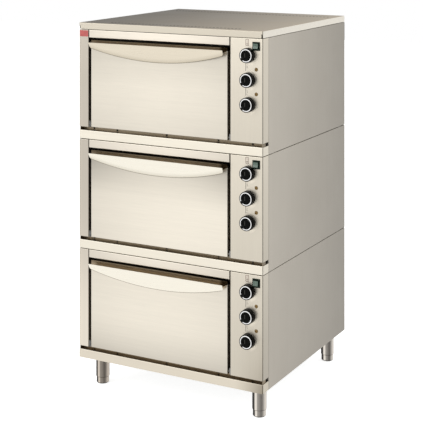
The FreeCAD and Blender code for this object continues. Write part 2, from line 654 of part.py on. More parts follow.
def indicator_lamps():
    """Domed lenses with their holders through the panel."""
    dome_r = (LAMP_R ** 2 + LAMP_OUT ** 2) / (2 * LAMP_OUT)
    shapes = []
    for drop in LAMP_DROPS:
        z = PITCH - drop
        ball = Part.makeSphere(dome_r, V(SMALL_X, FRONT - LAMP_OUT + dome_r, z))
        lens = ball.common(rod(LAMP_R, (SMALL_X, FRONT - LAMP_OUT, z), (0, 1, 0), LAMP_OUT - TOUCH))
        holder = rod(LAMP_R - 1.3, (SMALL_X, FRONT - 1, z), (0, 1, 0), LAMP_IN)
        shapes.append(joined([lens, holder]))
    return group(shapes)


# ---- pieces that the oven has once --------------------------------------------------------
def lid():
    """Folded lid with a row of holes near its front, one near its rear, and relieved corners."""
    top = CABINET_TOP + LID_H
    cover = folded_box((LEFT, RIGHT), (FRONT, BACK), (CABINET_TOP, top), 2, False)
    notch_x, notch_y, notch_z = LID_RELIEF
    cuts = [box(x, (FRONT - 1, FRONT + notch_y), (CABINET_TOP - 1, CABINET_TOP + notch_z))
            for x in ((LEFT - 1, LEFT + notch_x), (RIGHT - notch_x, RIGHT + 1))]
    rows = [(FRONT + FRONT_HOLES[0], *FRONT_HOLES[1:]), (BACK - REAR_HOLES[0], *REAR_HOLES[1:])]
    for y, first, count in rows:
        cuts += [rod(HOLE_R, (first + k * HOLE_PITCH, y, top - 2 * SHEET), (0, 0, 1), 4 * SHEET)
                 for k in range(count)]
    return cover.cut(cuts)


def leg(x, y):
    """Tube with a mounting plate on top and a threaded boss for the foot's stem."""
    plate = box(about(x, 2 * LEG_PLATE_HALF), about(y, 2 * LEG_PLATE_HALF),
                (LEG_TOP - LEG_PLATE_T, LEG_TOP))
    plate = plate.makeFillet(LEG_PLATE_CORNER, edges_of_length(plate, LEG_PLATE_T))
    plate = plate.cut([rod(LEG_SCREW_R + 0.3, (hole_x, hole_y, LEG_TOP - 10), (0, 0, 1), 20)
                       for hole_x, hole_y in leg_screw_places()])
    foot_gap = 0.3
    pipe = tube(LEG_R, LEG_R - LEG_WALL, (x, y, FOOT_H + foot_gap), (0, 0, 1),
                LEG_TOP - LEG_PLATE_T - FOOT_H - foot_gap)
    boss = tube(LEG_R - LEG_WALL + 0.1, STEM_R + RUNNING, (x, y, FOOT_H + 2), (0, 0, 1), BOSS_H)
    return joined([pipe, plate, boss])


def foot(x, y):
    """Foot with a threaded stem that runs in the leg's boss."""
    base = rod(FOOT_R, (x, y, 0), (0, 0, 1), FOOT_H)
    base = base.makeChamfer(3.5, round_edges_at(base, 2, 0))
    base = base.makeFillet(1.5, round_edges_at(base, 2, FOOT_H))
    return joined([base, rod(STEM_R, (x, y, FOOT_H - 5), (0, 0, 1), STEM_H + 5)])


def leg_screws():
    head_r, head_h = LEG_SCREW_HEAD
    under_plate = LEG_TOP - LEG_PLATE_T - TOUCH
    shapes = []
    for x, y in leg_screw_places():
        shank = rod(LEG_SCREW_R, (x, y, under_plate - head_h + 1), (0, 0, 1), 13)
        head = rod(head_r, (x, y, under_plate - head_h), (0, 0, 1), head_h)
        head = head.makeChamfer(0.8, round_edges_at(head, 2, under_plate - head_h))
        shapes.append(joined([shank, head]))
    return shapes


def panel_screws():
    """Pan-head screws that hold each rear panel to the side panels."""
    head_r, head_h = PANEL_SCREW_HEAD
    top_y = BACK + TOUCH + head_h
    shapes = []
    for base in DECK_BASES:
        for x in (-PANEL_SCREW_X, PANEL_SCREW_X):
            for z in PANEL_SCREW_ZS:
                head = rod(head_r, (x, top_y, base + z), (0, -1, 0), head_h)
                head = head.makeFillet(1.2, round_edges_at(head, 1, top_y))
                shank = rod(PANEL_SCREW_R, (x, BACK + 1, base + z), (0, -1, 0), 10)
                shapes.append(joined([head, shank]))
    return shapes


def hexagon(across, y, length):
    corner = across / math.sqrt(3)
    points = [V(GLAND_X + corner * math.cos(math.radians(60 * k)), y,
                GLAND_Z + corner * math.sin(math.radians(60 * k))) for k in range(7)]
    return Part.Face(Part.makePolygon(points)).extrude(V(0, length, 0))


def cable_gland():
    """Hexagonal gland in the lowest rear panel."""
    nut_y = BACK + TOUCH
    cap_y = nut_y + GLAND_NUT[1]
    nose_y = cap_y + GLAND_CAP[1]
    nut = hexagon(GLAND_NUT[0], nut_y, GLAND_NUT[1])
    cap = hexagon(GLAND_CAP[0], cap_y, GLAND_CAP[1])
    cap = cap.common(rod(GLAND_CAP[0] / 2 + 1.5, (GLAND_X, cap_y, GLAND_Z), (0, 1, 0), 30))
    nose = rod(GLAND_NOSE[0], (GLAND_X, nose_y, GLAND_Z), (0, 1, 0), GLAND_NOSE[1])
    neck = rod(GLAND_NECK_R, (GLAND_X, REAR_Y - 10, GLAND_Z), (0, 1, 0), 20)
    bore = rod(CABLE_R + 0.3, (GLAND_X, REAR_Y - 20, GLAND_Z), (0, 1, 0), 60)
    return joined([nut, cap, nose, neck]).cut(bore)


def mains_cable():
    """End of the supply cable, from the terminal block out through the gland."""
    inside = 50.0
    return rod(CABLE_R, (GLAND_X, REAR_Y - inside, GLAND_Z), (0, 1, 0), inside + SHEET + REACH_BACK)


def terminal_block():
    """Terminal block on the lowest deck's floor, where the supply cable ends."""
    way_w, way_pitch = BLOCK_WAY
    y = (REAR_Y - 88, REAR_Y - 52)
    base = box(about(GLAND_X, BLOCK_WAYS * way_pitch), y, (GLAND_Z - 20, GLAND_Z - 8))
    first = GLAND_X - (BLOCK_WAYS - 1) / 2 * way_pitch
    ways = [box(about(first + k * way_pitch, way_w), inset(y, 6), (GLAND_Z - 9, GLAND_Z + 12))
            for k in range(BLOCK_WAYS)]
    return joined([base] + ways)


def badge():
    """Plain plate at the head of the upper left column."""
    plate = box((LEFT + 4, OPEN_LEFT - 3), (FRONT - TOUCH - BADGE_T, FRONT - TOUCH),
                (CABINET_TOP - BADGE_DROP[1], CABINET_TOP - BADGE_DROP[0]))
    return plate.makeFillet(2.0, edges_of_length(plate, BADGE_T))


# ---- all nodes ----------------------------------------------------------------------------
PER_DECK_STATIC = {
    "left_columns": left_column,
    "header_strips": header_strip,
    "control_panels": control_panel,
    "bottom_rails": bottom_rail,
    "oven_chambers": chamber,
    "chamber_supports": chamber_supports,
    "chamber_insulation": blanket,
    "heat_shields": heat_shield,
    "hearth_ledges": hearth_ledges,
    "hearth_stones": hearth,
    "temperature_bulbs": temperature_bulb,
    "steam_outlets": steam_outlet,
    "stacking_pads": stacking_pads,
    "hinge_brackets": hinge_brackets,
    "door_gaskets": door_gasket,
    "thermostats": thermostats,
    "switch_housings": switch_housing,
    "indicator_lamps": indicator_lamps,
}

PER_DECK_MOVING = {
    "door_skin": door_skin,
    "door_handle": door_handle,
    "door_liner": door_liner,
    "door_insulation": door_insulation,
    "door_hinge_arms": hinge_arms,
    "power_rocker": rocker,
}

FEET = ["front_left_foot", "rear_left_foot", "front_right_foot", "rear_right_foot"]


def write_cabinet():
    for name, make in PER_DECK_STATIC.items():
        save(name, each_deck(make))
    save("side_panels", each_deck(lambda: side_panel(-1)) + each_deck(lambda: side_panel(1)))
    rear = each_deck(rear_panel)
    rear[0] = rear[0].cut(rod(GLAND_NECK_R + 0.5, (GLAND_X, REAR_Y - 1, GLAND_Z), (0, 1, 0), 2 * SHEET))
    save("rear_panels", rear)
    elements = [heating_element(z) for z in ELEMENT_ZS]
    save("heating_elements", each_deck(lambda: group(elements)))
    save("deck_floors", [deck_floor(k == 0).translated(V(0, 0, base)) for k, base in enumerate(DECK_BASES)])
    save("lid", [lid()])
    save("badge", [badge()])
    save("legs", [leg(x, y) for x, y in leg_places()])
    save("screws", leg_screws() + panel_screws())
    save("cable_gland", [cable_gland()])
    save("mains_cable", [mains_cable()])
    save("terminal_block", [terminal_block()])


def write_moving_pieces():
    for deck, base in zip(DECK_NAMES, DECK_BASES):
        up = V(0, 0, base)
        for name, make in PER_DECK_MOVING.items():
            save("%s_%s" % (deck, name), [make().translated(up)])
        for name, drop in zip(KNOB_NAMES, KNOB_DROPS):
            save("%s_%s_knob" % (deck, name), [knob(PITCH - drop).translated(up)])
    for name, (x, y) in zip(FEET, leg_places()):
        save(name, [foot(x, y)])


os.makedirs("parts", exist_ok=True)
write_cabinet()
write_moving_pieces()
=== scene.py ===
import math

import bmesh
import bpy
from mathutils import Matrix, Vector


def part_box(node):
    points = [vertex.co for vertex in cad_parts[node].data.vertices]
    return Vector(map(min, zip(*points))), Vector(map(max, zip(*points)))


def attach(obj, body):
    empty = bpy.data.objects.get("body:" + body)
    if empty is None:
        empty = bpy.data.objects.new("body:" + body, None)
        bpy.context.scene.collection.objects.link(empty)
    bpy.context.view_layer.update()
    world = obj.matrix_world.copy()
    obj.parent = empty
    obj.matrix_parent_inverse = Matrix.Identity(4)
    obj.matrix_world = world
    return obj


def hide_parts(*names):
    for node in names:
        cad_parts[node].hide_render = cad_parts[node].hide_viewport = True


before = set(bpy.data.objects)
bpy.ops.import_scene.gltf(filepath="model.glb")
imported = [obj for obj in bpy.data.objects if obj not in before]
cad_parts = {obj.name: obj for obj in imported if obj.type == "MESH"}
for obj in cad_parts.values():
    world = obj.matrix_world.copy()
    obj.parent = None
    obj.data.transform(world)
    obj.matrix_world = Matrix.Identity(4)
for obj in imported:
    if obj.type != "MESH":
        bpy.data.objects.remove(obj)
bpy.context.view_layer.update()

# Triple deck oven in brushed stainless sheet. Metres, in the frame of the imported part:
# origin on the floor under the middle of the footprint, +X right, +Y back, +Z up.

MM = 0.001
DECKS = ("lower", "middle", "upper")
KNOBS = ("thermostat", "top_heat", "floor_heat")

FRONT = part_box("control_panels")[0].y
CABINET_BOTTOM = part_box("bottom_rails")[0].z
PITCH = (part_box("lid")[0].z - CABINET_BOTTOM) / len(DECKS)
DOOR_LOW, DOOR_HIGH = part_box("lower_door_skin")
DOOR_MIDDLE = (DOOR_LOW + DOOR_HIGH) / 2
SIDE_LOW, SIDE_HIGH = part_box("side_panels")
LID_LOW, LID_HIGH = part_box("lid")
HANDLE_LOW, HANDLE_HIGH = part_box("lower_door_handle")
HANDLE_RISE = 50 * MM              # how much the crescent's edge rises from its middle to its ends
RAIL_H = 38 * MM
LAMP_X = (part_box("indicator_lamps")[0].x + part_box("indicator_lamps")[1].x) / 2
KNOB_TOP_MIDDLE = sum(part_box("lower_thermostat_knob"), Vector()) / 2
KNOB_FOOT_MIDDLE = sum(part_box("lower_floor_heat_knob"), Vector()) / 2
KNOB_STEP = (KNOB_TOP_MIDDLE.z - KNOB_FOOT_MIDDLE.z) / 2


# ---- materials --------------------------------------------------------------------------
class Shader:
    """A Principled material with short calls for adding nodes to it."""

    def __init__(self, name):
        self.material = bpy.data.materials.new(name)
        self.material.use_nodes = True
        self.tree = self.material.node_tree
        self.surface = self.tree.nodes["Principled BSDF"]

    def add(self, kind, inputs=None, **settings):
        node = self.tree.nodes.new(kind)
        for key, value in settings.items():
            setattr(node, key, value)
        for key, value in (inputs or {}).items():
            self.feed(node.inputs[key], value)
        return node

    def feed(self, socket, value):
        if isinstance(value, bpy.types.NodeSocket):
            self.tree.links.new(value, socket)
        elif isinstance(value, tuple) and len(value) == 3 and socket.type == "RGBA":
            socket.default_value = value + (1.0,)
        else:
            socket.default_value = value

    def place(self):
        """Position in the row frame, in metres."""
        return self.add("ShaderNodeTexCoord").outputs["Object"]

    def along(self, axis):
        """One coordinate of the position."""
        return self.add("ShaderNodeSeparateXYZ", {"Vector": self.place()}).outputs[axis.upper()]

    def facing(self, axis):
        """One component of the surface's normal."""
        normal = self.add("ShaderNodeNewGeometry").outputs["Normal"]
        return self.add("ShaderNodeSeparateXYZ", {"Vector": normal}).outputs[axis.upper()]

    def in_deck(self):
        """Height above the deck's underside."""
        return self.math("MODULO", self.math("SUBTRACT", self.along("z"), CABINET_BOTTOM), PITCH)

    def noise(self, scale, stretch=(1, 1, 1), detail=3.0, roughness=0.55):
        """Noise of about the given number of cells per metre, stretched along the axes."""
        mapped = self.add("ShaderNodeMapping", {"Vector": self.place()})
        mapped.inputs["Scale"].default_value = stretch
        noise = self.add("ShaderNodeTexNoise", {"Vector": mapped.outputs["Vector"], "Scale": scale,
                                                "Detail": detail, "Roughness": roughness})
        return noise.outputs["Fac"]

    def spread(self, value, low, high, from_low=0.3, from_high=0.7):
        """The value, from one range to another."""
        node = self.add("ShaderNodeMapRange", {"Value": value, "From Min": from_low,
                                               "From Max": from_high, "To Min": low, "To Max": high})
        return node.outputs["Result"]

    def math(self, operation, a, b=0.0):
        node = self.add("ShaderNodeMath", operation=operation)
        self.feed(node.inputs[0], a)
        self.feed(node.inputs[1], b)
        return node.outputs["Value"]

    def reach(self, a, b):
        """Length of the two offsets taken together."""
        return self.math("SQRT", self.math("ADD", self.times(a, a), self.times(b, b)))

    def times(self, *factors):
        product = factors[0]
        for factor in factors[1:]:
            product = self.math("MULTIPLY", product, factor)
        return product

    def limited(self, value):
        """The value, held between 0 and 1."""
        return self.math("MINIMUM", self.math("MAXIMUM", value, 0.0), 1.0)

    def above(self, value, limit):
        return self.math("GREATER_THAN", value, limit)

    def mix(self, factor, a, b):
        node = self.add("ShaderNodeMix", data_type="RGBA")
        self.feed(node.inputs["Factor"], factor)
        self.feed(node.inputs[6], a)
        self.feed(node.inputs[7], b)
        return node.outputs[2]

    def tint(self, colour, factor):
        """The colour times a grey factor."""
        node = self.add("ShaderNodeMix", data_type="RGBA", blend_type="MULTIPLY")
        self.feed(node.inputs["Factor"], 1.0)
        self.feed(node.inputs[6], colour)
        grey = self.add("ShaderNodeCombineXYZ")
        for socket in grey.inputs:
            self.feed(socket, factor)
        self.feed(node.inputs[7], grey.outputs["Vector"])
        return node.outputs[2]

    def shade_or_stain(self, colour, mask, factors):
        """The colour, multiplied by the given factors wherever the mask is 1: a painted shade, a painted
        light or a real stain.
        """
        node = self.add("ShaderNodeMix", data_type="RGBA", blend_type="MULTIPLY")
        self.feed(node.inputs["Factor"], mask)
        self.feed(node.inputs[6], colour)
        self.feed(node.inputs[7], factors)
        return node.outputs[2]

    def ramp(self, value, stops):
        """Grey value from a smooth ramp of (place, level) pairs."""
        node = self.add("ShaderNodeFloatCurve", {"Value": value})
        curve = node.mapping.curves[0]
        while len(curve.points) < len(stops):
            curve.points.new(0.5, 0.5)
        for point, (place, level) in zip(curve.points, stops):
            point.location = (place, level)
        node.mapping.update()
        return node.outputs["Value"]

    def bump(self, height, strength, distance):
        node = self.add("ShaderNodeBump", {"Height": height, "Strength": strength, "Distance": distance})
        self.feed(self.surface.inputs["Normal"], node.outputs["Normal"])

    def set(self, **inputs):
        names = {"colour": "Base Color", "metal": "Metallic", "rough": "Roughness", "coat": "Coat Weight",
                 "specular": "Specular IOR Level", "glow": "Emission Color",
                 "glow_power": "Emission Strength"}
        for key, value in inputs.items():
            self.feed(self.surface.inputs[names[key]], value)
        return self


# Stretch of the noise that draws it out into grain along one axis.
ACROSS = {"x": (0.012, 1, 1), "y": (1, 0.012, 1), "z": (1, 1, 0.012)}


def brushed_steel(name, colour, grain, rough=0.34, contrast=1.0, shade=None, shades_and_stains=()):
    """Stainless sheet brushed along one axis, with soft handling marks.

    shade gives a broad painted light and dark factor; each entry in the list after it is a mask with the
    factors it applies: mostly painted shade or painted light, a few real stains.
    """
    s = Shader(name)
    fine = s.noise(900, ACROSS[grain], detail=2)
    broad = s.noise(70, ACROSS[grain], detail=3)
    smudge = s.noise(3.2, detail=4)
    tone = s.times(s.spread(fine, 1 - 0.05 * contrast, 1 + 0.05 * contrast),
                   s.spread(broad, 1 - 0.025 * contrast, 1 + 0.025 * contrast),
                   s.spread(smudge, 1 - 0.03 * contrast, 1 + 0.02 * contrast))
    tinted = s.tint(colour, s.times(tone, shade(s)) if shade else tone)
    for mask, factors in shades_and_stains:
        tinted = s.shade_or_stain(tinted, mask(s), factors)
    s.set(colour=tinted, metal=1.0)
    s.set(rough=s.math("ADD", s.spread(fine, rough - 0.06, rough + 0.06), s.spread(smudge, -0.03, 0.05)))
    s.bump(fine, 0.25, 0.00006)
    return s.material


# ---- masks and shades of the steel -----------------------------------------------------------
# A mask is 1 where its painted shade, painted light or stain applies and 0 elsewhere; a shade is a painted
# light and dark factor over the whole sheet.
def inside(s, value, low, high):
    """1 between two limits, else 0."""
    return s.times(s.above(value, low), s.math("LESS_THAN", value, high))


def lowest_deck(s):
    return s.math("LESS_THAN", s.along("z"), CABINET_BOTTOM + PITCH)


def middle_deck(s):
    return s.math("SUBTRACT", s.above(s.along("z"), CABINET_BOTTOM + PITCH), upper_deck(s))


def upper_deck(s):
    return s.above(s.along("z"), CABINET_BOTTOM + 2 * PITCH)


def bend_reflection(s):
    """Painted reflection: bends between the front and the sides are darkened where they mirror the dark gap
    beside the lights.
    """
    both = s.times(s.math("ABSOLUTE", s.facing("x")), s.math("ABSOLUTE", s.facing("y")))
    return s.math("MINIMUM", s.times(both, 2.6), 1.0)


def low_right_corner_shade(s):
    """Painted shade: the foot of the front darkens towards its right-hand corner."""
    right = s.spread(s.along("x"), 0.0, 1.0, SIDE_HIGH.x - 135 * MM, SIDE_HIGH.x)
    low = s.spread(s.along("z"), 1.0, 0.0, CABINET_BOTTOM, CABINET_BOTTOM + 330 * MM)
    front = s.above(s.math("ABSOLUTE", s.facing("y")), 0.7)
    return s.times(s.math("POWER", s.times(s.math("MAXIMUM", right, 0.0), s.math("MAXIMUM", low, 0.0)), 1.4),
                   front)


def door_place(s):
    """Place on the door across and up, from -1 to 1."""
    across = s.times(s.math("SUBTRACT", s.along("x"), DOOR_MIDDLE.x), 1 / (DOOR_HIGH.x - DOOR_MIDDLE.x))
    middle = DOOR_MIDDLE.z - CABINET_BOTTOM
    up = s.times(s.math("SUBTRACT", s.in_deck(), middle), 1 / (DOOR_HIGH.z - DOOR_MIDDLE.z))
    return across, up


def door_shade(s):
    """Brightest round the middle of the door; each deck mirrors the studio a little differently."""
    across, up = door_place(s)
    away = s.math("ADD", s.times(across, across, 0.5), s.times(up, up, 0.5))
    bowl = s.spread(away, 1.02, 0.86, 0.0, 1.0)
    slant = s.spread(s.math("SUBTRACT", across, up), 0.86, 1.14, -2.0, 2.0)
    foot = s.math("POWER", s.math("MAXIMUM", s.times(up, -1.0), 0.0), 2.0)
    sunk = s.spread(foot, 1.0, 0.80, 0.0, 1.0)
    middle = middle_deck(s)
    lowest = lowest_deck(s)
    head = s.times(s.spread(s.math("MAXIMUM", up, 0.0), 1.0, 0.80, 0.0, 1.0),
                   s.spread(s.times(middle, s.math("MAXIMUM", up, 0.0), across, across), 1.0, 0.72, 0.0, 1.0),
                   s.spread(upper_deck(s), 1.0, 0.94, 0.0, 1.0))
    return s.times(bowl, s.spread(middle, 1.0, slant, 0.0, 1.0), s.spread(lowest, 1.0, sunk, 0.0, 1.0),
                   s.spread(lowest, head, 1.0, 0.0, 1.0))


def behind_handle(s):
    """Top of the door, which lies in the shade of the handle; the shade tapers off at the right."""
    from_top = s.math("SUBTRACT", DOOR_HIGH.z - CABINET_BOTTOM, s.in_deck())
    from_right = s.math("SUBTRACT", DOOR_HIGH.x, s.along("x"))
    depth = s.math("MINIMUM", s.spread(from_right, 13 * MM, 30 * MM, 0.0, 38 * MM), 30 * MM)
    return s.math("LESS_THAN", from_top, depth)


def top_of_door(s):
    """The very top of the door lies deepest in that shade."""
    from_top = s.math("SUBTRACT", DOOR_HIGH.z - CABINET_BOTTOM, s.in_deck())
    return s.math("MAXIMUM", s.spread(from_top, 1.0, 0.0, 0.0, 14 * MM), 0.0)


def behind_upper_handle(s):
    """The shade is deeper on the upper door."""
    return s.times(behind_handle(s), upper_deck(s))


def beside_handle(s):
    """The same shade is deepest beyond the right-hand end of the handle."""
    right = s.spread(s.along("x"), 0.0, 1.0, DOOR_HIGH.x - 40 * MM, DOOR_HIGH.x - 26 * MM)
    return s.times(behind_handle(s), s.limited(right))


def slot_shade(s):
    """Painted shade inside the air slot."""
    return s.times(s.above(s.along("y"), FRONT + 2.5 * MM), s.above(s.in_deck(), RAIL_H - 0.8 * MM))


def lowest_slot_light(s):
    """Painted light: the lowest slot is a little lighter."""
    return s.times(slot_shade(s), lowest_deck(s))


# Painted shade: the lowest rail is a little darker.
def lowest_rail_shade(s):
    return s.math("LESS_THAN", s.along("z"), CABINET_BOTTOM + RAIL_H + 1 * MM)


def crescent(s):
    """Distance from the centre of the crescent's arc, and the radius of the arc."""
    plate_h = math.hypot(HANDLE_HIGH.y - HANDLE_LOW.y, HANDLE_HIGH.z - HANDLE_LOW.z)
    along_slope = plate_h / (HANDLE_HIGH.z - HANDLE_LOW.z)
    half = (HANDLE_HIGH.x - HANDLE_LOW.x) / 2
    rise = HANDLE_RISE * along_slope
    radius = (half * half + rise * rise) / (2 * rise)
    across = s.math("SUBTRACT", s.along("x"), (HANDLE_HIGH.x + HANDLE_LOW.x) / 2)
    height = s.times(s.math("SUBTRACT", s.in_deck(), HANDLE_LOW.z - CABINET_BOTTOM), along_slope)
    down = s.math("SUBTRACT", radius, height)
    return s.reach(across, down), radius


def handle_edge_shade(s):
    """Painted shade on the eased lower edge of the crescent plate, which turns towards the dark."""
    reach, radius = crescent(s)
    return s.above(reach, radius - 2.2 * MM)


def handle_foot_shade(s):
    """Painted shade: the two upper crescents darken a little towards their lower edges."""
    reach, radius = crescent(s)
    near = s.math("MAXIMUM", s.spread(reach, 0.0, 1.0, radius - 24 * MM, radius), 0.0)
    return s.times(s.math("POWER", near, 1.5), s.above(s.along("z"), CABINET_BOTTOM + PITCH))


def joint_line(s):
    """Painted shade in the joint under the lid or under the next deck."""
    return s.above(s.in_deck(), PITCH - 2.4 * MM)


def header_shade(s):
    """The strip above each door is brightest over the middle of the door."""
    across, _ = door_place(s)
    return s.spread(s.times(across, across), 1.0, 0.86, 0.0, 1.0)


def side_shade(s):
    """Side panels fade towards the back and a little towards the floor."""
    back = s.spread(s.along("y"), 1.04, 0.70, SIDE_LOW.y, SIDE_HIGH.y)
    low = s.spread(s.along("z"), 0.93, 1.0, SIDE_LOW.z, SIDE_HIGH.z)
    return s.times(back, low)


def lid_shade(s):
    """Painted shade: the lid's top is darker towards the left; its front flange is darker than its side
    flanges.
    """
    on_top = lid_top(s)
    on_front = lid_front(s)
    across = s.spread(s.along("x"), 0.0, 1.0, LID_LOW.x, LID_HIGH.x)
    top = s.spread(s.math("POWER", across, 1.3), 0.25, 0.78, 0.0, 1.0)
    flange = s.spread(on_front, 1.0, 0.66, 0.0, 1.0)
    return s.spread(on_top, flange, top, 0.0, 1.0)


def lid_top(s):
    return s.above(s.facing("z"), 0.7)


def lid_front(s):
    return s.above(s.math("ABSOLUTE", s.facing("y")), 0.7)


def hole_wall_shade(s):
    """Painted shade on the walls of the lid's holes: upright faces away from the flanges."""
    middle = s.times(inside(s, s.along("x"), LID_LOW.x + 4 * MM, LID_HIGH.x - 4 * MM),
                     inside(s, s.along("y"), LID_LOW.y + 4 * MM, LID_HIGH.y - 4 * MM))
    return s.times(middle, s.math("LESS_THAN", s.math("ABSOLUTE", s.facing("z")), 0.5))


def hole_shade(s):
    """Soft dark ring round each hole of the lid."""
    rings = 0.0
    for row_y, start, count in LID_ROWS:
        x = s.along("x")
        turn = s.math("MODULO", s.math("SUBTRACT", x, start - 0.5 * HOLE_PITCH), HOLE_PITCH)
        across = s.math("SUBTRACT", turn, 0.5 * HOLE_PITCH)
        along = s.math("SUBTRACT", s.along("y"), row_y)
        away = s.reach(across, along)
        ring = s.limited(s.spread(away, 1.0, 0.0, 6.0 * MM, 8.5 * MM))
        ring = s.times(ring, inside(s, x, start - 0.5 * HOLE_PITCH, start + (count - 0.5) * HOLE_PITCH))
        rings = s.math("MAXIMUM", rings, ring)
    return s.times(rings, lid_top(s))


def column_shade(s):
    """The left column brightens towards the floor."""
    height = s.spread(s.along("z"), 0.0, 1.0, CABINET_BOTTOM, LID_LOW.z)
    return s.times(s.ramp(height, COLUMN_BANDS), 1.25)


def panel_shade(s):
    """Control panels darken towards the foot of each deck, and their side returns towards the floor."""
    on_side = s.above(s.math("ABSOLUTE", s.facing("x")), 0.7)
    side = s.spread(s.along("z"), 0.88, 1.08, CABINET_BOTTOM, CABINET_BOTTOM + 2 * PITCH)
    foot = s.spread(s.in_deck(), 0.86, 1.0, 0.0, PITCH)
    deck = s.spread(lowest_deck(s), 1.0, 0.95, 0.0, 1.0)
    return s.times(foot, deck, s.spread(on_side, 1.0, side, 0.0, 1.0))


def from_knob(s):
    """Offset across and up from the nearest knob's axis."""
    across = s.math("SUBTRACT", s.along("x"), KNOB_TOP_MIDDLE.x)
    rise = s.math("SUBTRACT", s.in_deck(), KNOB_FOOT_MIDDLE.z - CABINET_BOTTOM - KNOB_STEP / 2)
    up = s.math("SUBTRACT", s.math("MODULO", rise, KNOB_STEP), KNOB_STEP / 2)
    return across, up


def beside_knob_light(s):
    """Painted light on the panel right of each knob, so that it mirrors less of the knob than plain steel
    would.
    """
    across, up = from_knob(s)
    away = s.reach(across, up)
    near = s.limited(s.spread(away, 1.0, 0.0, 32 * MM, 46 * MM))
    right = s.limited(s.times(across, 1 / (14 * MM)))
    return s.times(near, right, s.math("LESS_THAN", s.in_deck(), PITCH - 40 * MM))


def cap_highlight(s):
    """Painted highlight: streak of light on the moulded cap of each knob."""
    across, up = from_knob(s)
    beside = s.math("ABSOLUTE", s.math("ADD", across, 5 * MM))
    level = s.math("ABSOLUTE", s.math("SUBTRACT", up, 1 * MM))
    soft = s.limited(s.spread(beside, 1.0, 0.0, 0.5 * MM, 3.0 * MM))
    return s.times(soft, s.math("LESS_THAN", level, 9 * MM), s.math("LESS_THAN", s.facing("y"), -0.7))


def chamber_shade(s):
    """The flange round the door lies in the dark."""
    return s.spread(s.along("y"), 0.12, 1.0, FRONT + 42 * MM, FRONT + 46 * MM)


def tube_shade(s):
    """Upright bands that a polished tube mirrors from a studio."""
    sideways = s.math("ADD", s.times(s.facing("x"), TUBE_ACROSS[0]), s.times(s.facing("y"), TUBE_ACROSS[1]))
    return s.times(s.ramp(s.spread(sideways, 0.0, 1.0, -1.0, 1.0), TUBE_BANDS), 1.6)


def foot_sole(s):
    return s.math("LESS_THAN", s.along("z"), 4.5 * MM)


# Painted shade: the front left leg is darker.
def front_left_leg_shade(s):
    return s.times(s.math("LESS_THAN", s.along("x"), 0.0), s.math("LESS_THAN", s.along("y"), 0.0))


def foot_groove(s):
    """Dark ring where the foot enters its leg."""
    return inside(s, s.along("z"), 27.5 * MM, 31 * MM)


# ---- the finishes ----------------------------------------------------------------------------
# Bands are (place, level) pairs from 0 to 1: from floor to lid, and round a tube from left to right.
COLUMN_BANDS = [(0.0, 0.94), (0.17, 0.92), (0.33, 0.78), (0.5, 0.68), (0.83, 0.66), (1.0, 0.66)]
HOLE_PITCH = 17.5 * MM
# Rows of holes in the lid: place from front to back, place of the first hole from left to right, count.
LID_ROWS = [(LID_LOW.y + 58 * MM, -315 * MM, 37), (LID_HIGH.y - 112 * MM, -394 * MM, 47)]
TUBE_ACROSS = (0.881, 0.473)
TUBE_BANDS = [(0.0, 0.04), (0.12, 0.06), (0.18, 0.60), (0.27, 0.58), (0.34, 0.28), (0.60, 0.42), (0.70, 0.66),
              (0.90, 0.66), (1.0, 0.40)]
# Painted reflection on the bends, painted shade in the joints and towards the low right corner.
BEND_REFLECTION = (bend_reflection, (0.22, 0.21, 0.20))
JOINT_SHADE = (joint_line, (0.30, 0.28, 0.26))
CORNER_SHADE = (low_right_corner_shade, (0.42, 0.40, 0.37))
# Door, front, rail, column, panel, handle, side and lid steel are one stainless finish; their different base
# colours are painted light and shade.
DOOR_STEEL = brushed_steel("door_steel", (0.85, 0.79, 0.68), "x", rough=0.36, contrast=0.7, shade=door_shade,
                           shades_and_stains=[(behind_handle, (0.46, 0.39, 0.31)), (beside_handle, (0.16, 0.14, 0.11)),
                                   (top_of_door, (0.45, 0.44, 0.42)),
                                   (behind_upper_handle, (0.72, 0.70, 0.67))])
FRONT_STEEL = brushed_steel("front_steel", (0.86, 0.79, 0.68), "x", rough=0.36, contrast=0.7,
                            shade=header_shade, shades_and_stains=[JOINT_SHADE])
RAIL_STEEL = brushed_steel("rail_steel", (0.88, 0.82, 0.70), "x", rough=0.36, contrast=0.7,
                           shades_and_stains=[(slot_shade, (0.33, 0.295, 0.25)), (lowest_slot_light, (1.2, 1.18, 1.15)),
                                   (lowest_rail_shade, (0.86, 0.84, 0.82)), BEND_REFLECTION, CORNER_SHADE])
COLUMN_STEEL = brushed_steel("column_steel", (0.68, 0.62, 0.53), "z", rough=0.36, contrast=0.6,
                             shade=column_shade, shades_and_stains=[JOINT_SHADE, BEND_REFLECTION])
PANEL_STEEL = brushed_steel("panel_steel", (0.76, 0.70, 0.59), "z", rough=0.36, contrast=0.6,
                            shade=panel_shade,
                            shades_and_stains=[JOINT_SHADE, BEND_REFLECTION,
                                    (low_right_corner_shade, (0.66, 0.64, 0.61)),
                                    (beside_knob_light, (1.32, 1.32, 1.32))])
# Painted shade: the upper handle is darker than the others.
HANDLE_STEEL = brushed_steel("handle_steel", (0.99, 0.94, 0.82), "x", rough=0.30, contrast=0.5,
                             shades_and_stains=[(handle_edge_shade, (0.30, 0.27, 0.24)), (handle_foot_shade, (0.74, 0.73, 0.70)),
                                     (upper_deck, (0.84, 0.80, 0.745))])
SIDE_STEEL = brushed_steel("side_steel", (0.62, 0.575, 0.50), "z", rough=0.42, contrast=0.4, shade=side_shade)
REAR_STEEL = brushed_steel("rear_steel", (0.62, 0.60, 0.56), "x", rough=0.42, contrast=0.6)
